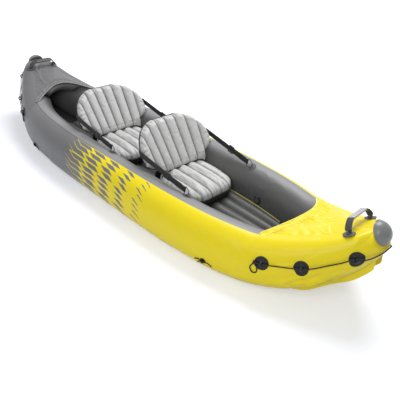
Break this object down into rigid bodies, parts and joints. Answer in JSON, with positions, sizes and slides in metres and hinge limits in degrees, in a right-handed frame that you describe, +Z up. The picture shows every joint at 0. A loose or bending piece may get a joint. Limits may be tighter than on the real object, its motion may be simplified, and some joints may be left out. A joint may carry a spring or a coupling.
{
  "type": "tandem kayak",
  "caption": "Tandem inflatable kayak with side air chambers, channelled floor, arched spray decks, padded seats with folding backrests, carry handles, grab lines and a fin box.",
  "frame": {"origin": "on the ground under the middle of the hull", "axes": "+X to the bow, +Y to port, +Z up"},
  "size_m": [3.1094, 0.91, 0.4997],
  "materials": {
    "yellow_hull_vinyl": "semi-gloss coated vinyl, yellow outside and gray inside",
    "gray_hull_vinyl": "semi-gloss coated vinyl",
    "seat_vinyl": "soft satin vinyl with welded channels",
    "seat_backing": "matte coated fabric",
    "black_webbing": "woven webbing",
    "black_rope": "braided rope",
    "gray_fittings": "moulded satin plastic",
    "black_plastic": "moulded satin plastic"
  },
  "bodies": {
    "hull": {"port_side_chamber": "yellow_hull_vinyl", "starboard_side_chamber": "yellow_hull_vinyl", "inflatable_floor": "gray_hull_vinyl", "bottom_sheet": "gray_hull_vinyl", "bow_bottom_panel": "yellow_hull_vinyl", "stern_bottom_panel": "gray_hull_vinyl", "bow_deck": "yellow_hull_vinyl", "stern_deck": "gray_hull_vinyl", "bow_deck_roll": "gray_hull_vinyl", "stern_deck_roll": "gray_hull_vinyl", "bow_nose_cap": "gray_fittings", "stern_nose_cap": "gray_fittings", "port_valve_body": "black_plastic", "starboard_valve_body": "black_plastic", "floor_valve_body": "black_plastic", "bow_rope_patches": "black_plastic", "stern_rope_patches": "black_plastic", "bow_grab_line": "black_rope", "stern_grab_line": "black_rope", "tie_patches": "black_plastic", "tie_cords": "black_rope", "bow_handle_anchors": "gray_fittings", "stern_handle_anchors": "gray_fittings", "skeg_box": "black_plastic", "front_seat_base": "seat_backing", "front_seat_cushion": "seat_vinyl", "front_strap_patches": "black_plastic", "front_strap_rings": "black_plastic", "front_port_strap": "black_webbing", "front_starboard_strap": "black_webbing", "front_port_buckle": "black_plastic", "front_starboard_buckle": "black_plastic", "rear_seat_base": "seat_backing", "rear_seat_cushion": "seat_vinyl", "rear_strap_patches": "black_plastic", "rear_strap_rings": "black_plastic", "rear_port_strap": "black_webbing", "rear_starboard_strap": "black_webbing", "rear_port_buckle": "black_plastic", "rear_starboard_buckle": "black_plastic"},
    "front_backrest": {"front_backrest": "seat_vinyl", "front_back_panel": "seat_backing", "front_back_hinge": "seat_backing"},
    "rear_backrest": {"rear_backrest": "seat_vinyl", "rear_back_panel": "seat_backing", "rear_back_hinge": "seat_backing"},
    "bow_handle": {"bow_handle_strap": "black_webbing", "bow_handle_grip": "gray_fittings"},
    "stern_handle": {"stern_handle_strap": "black_webbing", "stern_handle_grip": "gray_fittings"},
    "port_valve_lid": {"port_valve_cap": "black_plastic"},
    "starboard_valve_lid": {"starboard_valve_cap": "black_plastic"},
    "floor_valve_lid": {"floor_valve_cap": "black_plastic"}
  },
  "joints": [
    {"name": "front_backrest_fold", "type": "hinge", "parent": "hull", "child": "front_backrest", "pos_m": [0.203, 0, 0.24254], "axis": [0, 1, 0], "range_deg": [0, 42], "deforming": ["front_port_strap", "front_starboard_strap"]},
    {"name": "rear_backrest_fold", "type": "hinge", "parent": "hull", "child": "rear_backrest", "pos_m": [-0.441, 0, 0.24254], "axis": [0, 1, 0], "range_deg": [0, 42], "deforming": ["rear_port_strap", "rear_starboard_strap"]},
    {"name": "bow_handle_swing", "type": "hinge", "parent": "hull", "child": "bow_handle", "pos_m": [1.38744, 0, 0.44718], "axis": [0, 1, 0], "range_deg": [-45, 45]},
    {"name": "stern_handle_swing", "type": "hinge", "parent": "hull", "child": "stern_handle", "pos_m": [-1.38744, 0, 0.44718], "axis": [0, 1, 0], "range_deg": [-45, 45]},
    {"name": "port_valve_lid_open", "type": "hinge", "parent": "hull", "child": "port_valve_lid", "pos_m": [0.70422, 0.17663, 0.17125], "axis": [-0.9937, 0.1117, 0], "range_deg": [0, 150]},
    {"name": "starboard_valve_lid_open", "type": "hinge", "parent": "hull", "child": "starboard_valve_lid", "pos_m": [0.70422, -0.17663, 0.17125], "axis": [0.9937, 0.1117, 0], "range_deg": [0, 150]},
    {"name": "floor_valve_lid_open", "type": "hinge", "parent": "hull", "child": "floor_valve_lid", "pos_m": [-0.768, 0, 0.13354], "axis": [0, 1, 0], "range_deg": [0, 150]}
  ]
}
